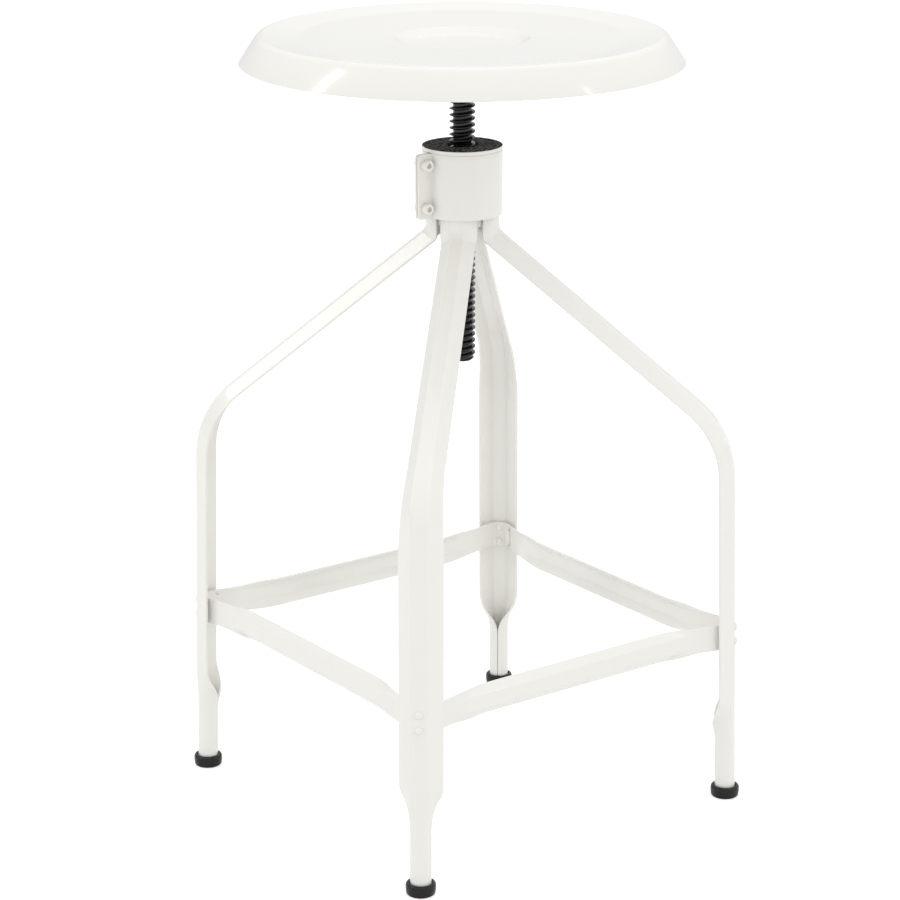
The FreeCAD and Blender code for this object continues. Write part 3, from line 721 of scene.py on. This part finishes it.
def shifted(points, distance):
    # an open line of points moved to its left, mitred at its corners
    headings = [math.atan2(by - ay, bx - ax) for (ax, ay), (bx, by) in zip(points, points[1:])]
    headings = headings[:1] + headings + headings[-1:]
    moved = []
    for i, (x, y) in enumerate(points):
        a, b = headings[i], headings[i + 1]
        half = (a + b) / 2
        reach = distance / math.cos((b - a) / 2)
        moved.append((x - reach * math.sin(half), y + reach * math.cos(half)))
    return moved


def beside(start, aim, length):
    span = math.dist(start, aim)
    return tuple(s + (a - s) * length / span for s, a in zip(start, aim))


# Plan line of the outer face of a rail end that lies against the leg, as sharp corners.
def nestedLine(legAngle, flare):
    halfFlat, side, bend, _ = legForms["lower"]
    folds = [(-halfFlat - side * math.cos(bend), side * math.sin(bend)), (-halfFlat, 0),
             (halfFlat, 0), (halfFlat + side * math.cos(bend), side * math.sin(bend))]
    line = shifted(folds, leg["sheet"] + jointGap)
    corners = [inPlan(legAngle, t, w) for t, w in line]
    tip = beside(corners[2], corners[3], rail["tabLap"] + rail["tipSpare"])
    return [flare, corners[1], corners[2], tip]


railReach = (leg["reach"] + legForms["lower"][0]) * math.sqrt(0.5) - rail["inset"]
flareStart = railReach - rail["flare"]


# The front rail's two ends: one lies on the leg, the other on the neighbouring rail's end.
def railPlan():
    under = nestedLine(legAngles["front_right"], (flareStart, -railReach))
    neighbour = nestedLine(legAngles["front_left"], (-railReach, -flareStart))
    over = shifted(neighbour, rail["sheet"] + jointGap)
    upper = [(-flareStart, -railReach), over[2], over[1]]
    upper.append(beside(over[1], over[0], rail["tabLap"] + rail["tipSpare"]))
    return upper, under


# Half of the rail's outer face in plan, from the middle to the tip, as evenly spaced points.
def railEnd(corners):
    radii = (rail["flareRound"], rail["nestRound"], rail["nestRound"], 0)
    line = [(0.0, -railReach, 0)] + [(x, y, radius) for (x, y), radius in zip(corners, radii)]
    points = [p / mm for p in roundedLine(line, 5.0)]
    fine = []
    for a, b in zip(points, points[1:]):
        count = max(1, round((b - a).length / rail["spacing"]))
        fine += [a + (b - a) * k / count for k in range(count)]
    fine.append(points[-1])
    return fine


def makeRail():
    upper, under = railPlan()
    right, left = railEnd(under), railEnd(upper)
    rows = [(p, legAngles["front_left"]) for p in reversed(left[1:])]
    rows += [(p, legAngles["front_right"]) for p in right]
    slope = math.tan(math.radians(leg["splay"]))
    endLengths = []
    for line in (left, right):
        run = [0.0]
        for a, b in zip(line, line[1:]):
            run.append(run[-1] + (b - a).length)
        endLengths.append(run)
    lengths = [(-s, endLengths[0][-1]) for s in reversed(endLengths[0][1:])]
    lengths += [(s, endLengths[1][-1]) for s in endLengths[1]]
    places = []
    for (point, legAngle), (along, total) in zip(rows, lengths):
        fromTip = total - abs(along)
        share = eased((abs(along) - flareStart + rail["fade"]) / (rail["fade"] + rail["fadeSpare"]))
        bend = math.radians(rail["bend"]) * (1 - share)
        flat = rail["tabHalf"]
        if fromTip < rail["tabRound"]:
            rest = rail["tabRound"] - fromTip
            flat -= rail["tabRound"] - math.sqrt(max(rail["tabRound"] ** 2 - rest ** 2, 0))
        side = rail["flange"] + (flat - rail["halfWeb"] - rail["flange"]) * share
        section = fullSection(rail["halfWeb"], side, bend, 0.0, rail["corner"])
        outward = Vector((math.cos(math.radians(legAngle)), math.sin(math.radians(legAngle)), 0))
        leans = eased((abs(along) - flareStart) / rail["leanRun"])
        row = []
        normal = inwardAt(rows, point)
        for z, depth in section:
            spot = Vector((point.x, point.y, rail["height"] + z))
            spot += Vector((normal.x, normal.y, 0)) * depth - outward * slope * z * leans
            row.append(spot * mm)
        places.append(row)
    piece = pressedBlank("rail", places, lambda centre: Vector((0, -1, 0)))
    thickened(piece, rail["sheet"], rail["edge"])
    return piece


def inwardAt(rows, point):
    # the plan normal towards the hollow side, from the neighbouring points
    line = [p for p, _ in rows]
    i = line.index(point)
    a, b = line[max(i - 1, 0)], line[min(i + 1, len(line) - 1)]
    way = (b - a).normalized()
    return Vector((-way.y, way.x))


firstLeg = makeLeg()
for place, angle in legAngles.items():
    piece = copyTurned(firstLeg, "leg_" + place + "_pressed", angle)
    dressed(piece, "frame", powderCoat, "leg_" + place)
bpy.data.objects.remove(firstLeg)
print("legs done")

firstRail = makeRail()
for place, angle in railAngles.items():
    piece = copyTurned(firstRail, "rail_" + place + "_pressed", angle)
    dressed(piece, "frame", powderCoat, "stretcher_" + place)
bpy.data.objects.remove(firstRail)
print("rails done")

# Rivets with domed heads

rivet = {"spacing": 12, "radius": 2, "headRadius": 3.2, "head": 2.1, "steps": 40}


def makeRivets():
    grip = leg["sheet"] + 2 * rail["sheet"] + 3 * jointGap
    radius, height = rivet["headRadius"], rivet["head"]
    sphere = (radius ** 2 + height ** 2) / (2 * height)
    swing = math.asin(radius / sphere)
    dome = [(sphere * math.sin(swing * k / 8), sphere * (1 - math.cos(swing * k / 8))) for k in range(9)]
    line = [(x, -grip - height + fall) for x, fall in dome]
    line += [(rivet["radius"], -grip), (rivet["radius"], jointGap)]
    line += [(x, jointGap + height - fall) for x, fall in reversed(dome)]
    single = turnedPiece("rivetForm", [Vector(p) * mm for p in line], rivet["steps"])
    smoothByAngle(single, 40)
    lean = Matrix.Rotation(math.radians(90 - leg["splay"]), 4, "Y")
    pair = []
    for way in (1, -1):
        height = rail["height"] + way * rivet["spacing"] / 2
        place = Vector((legOuter(height), 0, height)) * mm
        pair.append(ownCopy(single, Matrix.Translation(place) @ lean))
    bpy.data.objects.remove(single)
    return joined(pair, "rivetPair")


firstPair = makeRivets()
for place, angle in legAngles.items():
    piece = copyTurned(firstPair, "rivets_" + place + "_domed", angle)
    dressed(piece, "frame", powderCoat, "rivets_" + place)
bpy.data.objects.remove(firstPair)
print("rivets done")

# Glides: a moulded cup with a rounded rim round the tube's end, and its plug inside the tube

glide = {
    "radius": 11.5, "height": 9.5, "play": 0.2, "plug": 22, "sole": 1.8, "rim": 2.4,
    "tuck": 0.6, "widest": 4.6, "widestRound": 0.6, "lip": 0.5, "lipRound": 0.4, "lipDepth": 1.2,
    "plugFit": 0.96, "plugRound": 1.2, "steps": 96,
}


def makeGlide():
    leaning = math.tan(math.radians(leg["splay"]))
    plug = (leg["tubeRadius"] - leg["sheet"]) * glide["plugFit"] - glide["play"]
    plug -= (glide["plug"] - leg["tubeFoot"]) * leaning
    cup = leg["tubeRadius"] + glide["play"] + (glide["height"] - leg["tubeFoot"]) * leaning
    floor = leg["tubeFoot"] - jointGap
    piece = turnedPiece("glideForm", roundedLine([
        (0, 0, 0), (glide["radius"] - glide["tuck"], 0, glide["sole"]),
        (glide["radius"], glide["widest"], glide["widestRound"]),
        (glide["radius"], glide["height"], glide["rim"]),
        (cup + glide["lip"], glide["height"], glide["lipRound"]),
        (cup, glide["height"] - glide["lipDepth"], 0), (cup, floor, 0), (plug, floor, 0),
        (plug, glide["plug"], glide["plugRound"]), (0, glide["plug"], 0),
    ], 15.0), glide["steps"])
    smoothByAngle(piece, 35)
    centre = legOuter(leg["tubeFoot"]) - leg["tubeRadius"]
    piece.data.transform(Matrix.Translation(Vector((centre, 0, 0)) * mm))
    return piece


firstGlide = makeGlide()
for place, angle in legAngles.items():
    piece = copyTurned(firstGlide, "glide_" + place + "_moulded", angle)
    dressed(piece, "frame", glideRubber, "glide_" + place)
bpy.data.objects.remove(firstGlide)
print("glides done")

# Plate welded on the spindle under the pan, and the loose stop washer below it

plate = {
    "radius": 44, "thick": 4, "boss": 16, "length": 12, "weld": 4, "weldRound": 0.8, "edge": 0.6,
    "steps": 128,
}
washer = {"radius": 17, "thick": 2, "play": 0.1, "bore": 10.1, "edge": 0.3, "steps": 96}


def makePlate():
    top = seat["height"] - seat["dishDepth"] - seat["dimpleDepth"] - seat["sheet"] - jointGap
    under, foot = top - plate["thick"], top - plate["thick"] - plate["length"]
    bore = screw["crest"] + jointGap
    piece = turnedPiece("seatPlateWelded", roundedLine([
        (bore, foot, 0), (plate["boss"], foot, plate["edge"]),
        (plate["boss"], under - plate["weld"], plate["weldRound"]),
        (plate["boss"] + plate["weld"], under, plate["weldRound"]),
        (plate["radius"], under, plate["edge"]),
        (plate["radius"], top, plate["edge"]), (bore, top, 0), (bore, foot, 0),
    ], 15.0), plate["steps"])
    smoothByAngle(piece, 30)
    return piece, foot


def makeWasher(foot):
    top = foot - washer["play"]
    low = top - washer["thick"]
    piece = turnedPiece("stopWasherRing", roundedLine([
        (washer["bore"], low, 0), (washer["radius"], low, washer["edge"]),
        (washer["radius"], top, washer["edge"]), (washer["bore"], top, 0), (washer["bore"], low, 0),
    ], 20.0), washer["steps"])
    smoothByAngle(piece, 30)
    return piece


seatPlate, bossFoot = makePlate()
dressed(seatPlate, "seat", plateSteel, "seat_plate")
dressed(makeWasher(bossFoot), "screw_travel", plateSteel, "stop_washer")
print("plate done")

# Floor, light and camera

studio = {
    "level": 0.81, "overhead": 1.36, "dimmer": 0.9, "floorSize": 12, "floorTone": 0.9,
    "floorGlow": 0.4, "target": (0, 0, 0.35),
}
softboxes = {
    "keyLight": {"place": (-2.24, 1.12, 1.7), "size": (0.3, 1.8), "power": 6},
    "fillLight": {"place": (1.43, -2.17, 1.4), "size": (0.12, 1.4), "power": 2},
}
shot = {
    "distance": 2209.9, "angle": 233.56, "height": 974.3, "aim": 53.82, "pitch": 17.40,
    "roll": -0.15, "focal": 2933, "frame": 900,
}


def makeStage():
    # white to the camera, with the object's shadow on it
    deselectAll()
    bpy.ops.mesh.primitive_plane_add(size=studio["floorSize"])
    floor = bpy.context.object
    floor.name = "floor"
    material, nodes, links, shader, _ = newMaterial("paleFloor")
    shader.inputs["Base Color"].default_value = (*[studio["floorTone"]] * 3, 1)
    shader.inputs["Roughness"].default_value = 0.9
    glow = nodes.new("ShaderNodeEmission")
    share = nodes.new("ShaderNodeMath")
    share.operation = "MULTIPLY"
    share.inputs[1].default_value = studio["floorGlow"]
    total = nodes.new("ShaderNodeAddShader")
    path = nodes.new("ShaderNodeLightPath")
    links.new(path.outputs["Is Camera Ray"], share.inputs[0])
    links.new(share.outputs["Value"], glow.inputs["Strength"])
    links.new(shader.outputs["BSDF"], total.inputs[0])
    links.new(glow.outputs["Emission"], total.inputs[1])
    links.new(total.outputs["Shader"], nodes["Material Output"].inputs["Surface"])
    floor.data.materials.append(material)


# The studio: brighter overhead, and dimmer over the half to the camera's left, which glossy faces
# mirror. The camera itself sees a plain pale backdrop.
def makeWorld():
    world = bpy.data.worlds.new("studio")
    bpy.context.scene.world = world
    world.use_nodes = True
    nodes, links = world.node_tree.nodes, world.node_tree.links
    place = nodes.new("ShaderNodeTexCoord")
    parts = nodes.new("ShaderNodeSeparateXYZ")
    links.new(place.outputs["Generated"], parts.inputs["Vector"])
    overhead = nodes.new("ShaderNodeMapRange")
    overhead.inputs["From Min"].default_value = 0.1
    overhead.inputs["To Min"].default_value = studio["level"]
    overhead.inputs["To Max"].default_value = studio["overhead"]
    links.new(parts.outputs["Z"], overhead.inputs["Value"])
    side = nodes.new("ShaderNodeVectorMath")
    side.operation = "DOT_PRODUCT"
    left = math.radians(shot["aim"] + 90)
    side.inputs[1].default_value = (math.cos(left), math.sin(left), 0)
    links.new(place.outputs["Generated"], side.inputs[0])
    dim = nodes.new("ShaderNodeMapRange")
    dim.inputs["From Min"].default_value = 0.03
    dim.inputs["From Max"].default_value = 0.07
    dim.inputs["To Min"].default_value = 1
    dim.inputs["To Max"].default_value = studio["dimmer"]
    links.new(side.outputs["Value"], dim.inputs["Value"])
    level = nodes.new("ShaderNodeMath")
    level.operation = "MULTIPLY"
    links.new(overhead.outputs["Result"], level.inputs[0])
    links.new(dim.outputs["Result"], level.inputs[1])
    plain = nodes["Background"]
    plain.inputs["Color"].default_value = (1, 1, 1, 1)
    links.new(level.outputs["Value"], plain.inputs["Strength"])
    backdrop = nodes.new("ShaderNodeBackground")
    mix = nodes.new("ShaderNodeMixShader")
    path = nodes.new("ShaderNodeLightPath")
    links.new(path.outputs["Is Camera Ray"], mix.inputs["Fac"])
    links.new(plain.outputs["Background"], mix.inputs[1])
    links.new(backdrop.outputs["Background"], mix.inputs[2])
    links.new(mix.outputs["Shader"], nodes["World Output"].inputs["Surface"])


def addSoftbox(name, box):
    lamp = bpy.data.lights.new(name, "AREA")
    lamp.shape = "RECTANGLE"
    lamp.size, lamp.size_y = box["size"]
    lamp.energy = box["power"]
    holder = bpy.data.objects.new(name, lamp)
    bpy.context.scene.collection.objects.link(holder)
    holder.location = box["place"]
    holder.rotation_mode = "QUATERNION"
    aim = Vector(studio["target"]) - Vector(box["place"])
    holder.rotation_quaternion = aim.to_track_quat("-Z", "Y")


def addCamera():
    angle, aim = math.radians(shot["angle"]), math.radians(shot["aim"])
    pitch = math.radians(shot["pitch"])
    data = bpy.data.cameras.new("camera")
    data.sensor_width = 36
    data.lens = shot["focal"] / shot["frame"] * data.sensor_width
    data.clip_start, data.clip_end = 0.05, 50
    camera = bpy.data.objects.new("camera", data)
    bpy.context.scene.collection.objects.link(camera)
    camera.location = Vector((
        shot["distance"] * math.cos(angle), shot["distance"] * math.sin(angle), shot["height"],
    )) * mm
    forward = Vector((
        math.cos(aim) * math.cos(pitch), math.sin(aim) * math.cos(pitch), -math.sin(pitch),
    ))
    look = forward.to_track_quat("-Z", "Y").to_matrix() @ Matrix.Rotation(
        math.radians(shot["roll"]), 3, "Z")
    camera.rotation_mode = "QUATERNION"
    camera.rotation_quaternion = look.to_quaternion()
    bpy.context.scene.camera = camera


makeStage()
makeWorld()
for name, box in softboxes.items():
    addSoftbox(name, box)
addCamera()
bpy.context.scene.view_settings.view_transform = "Standard"
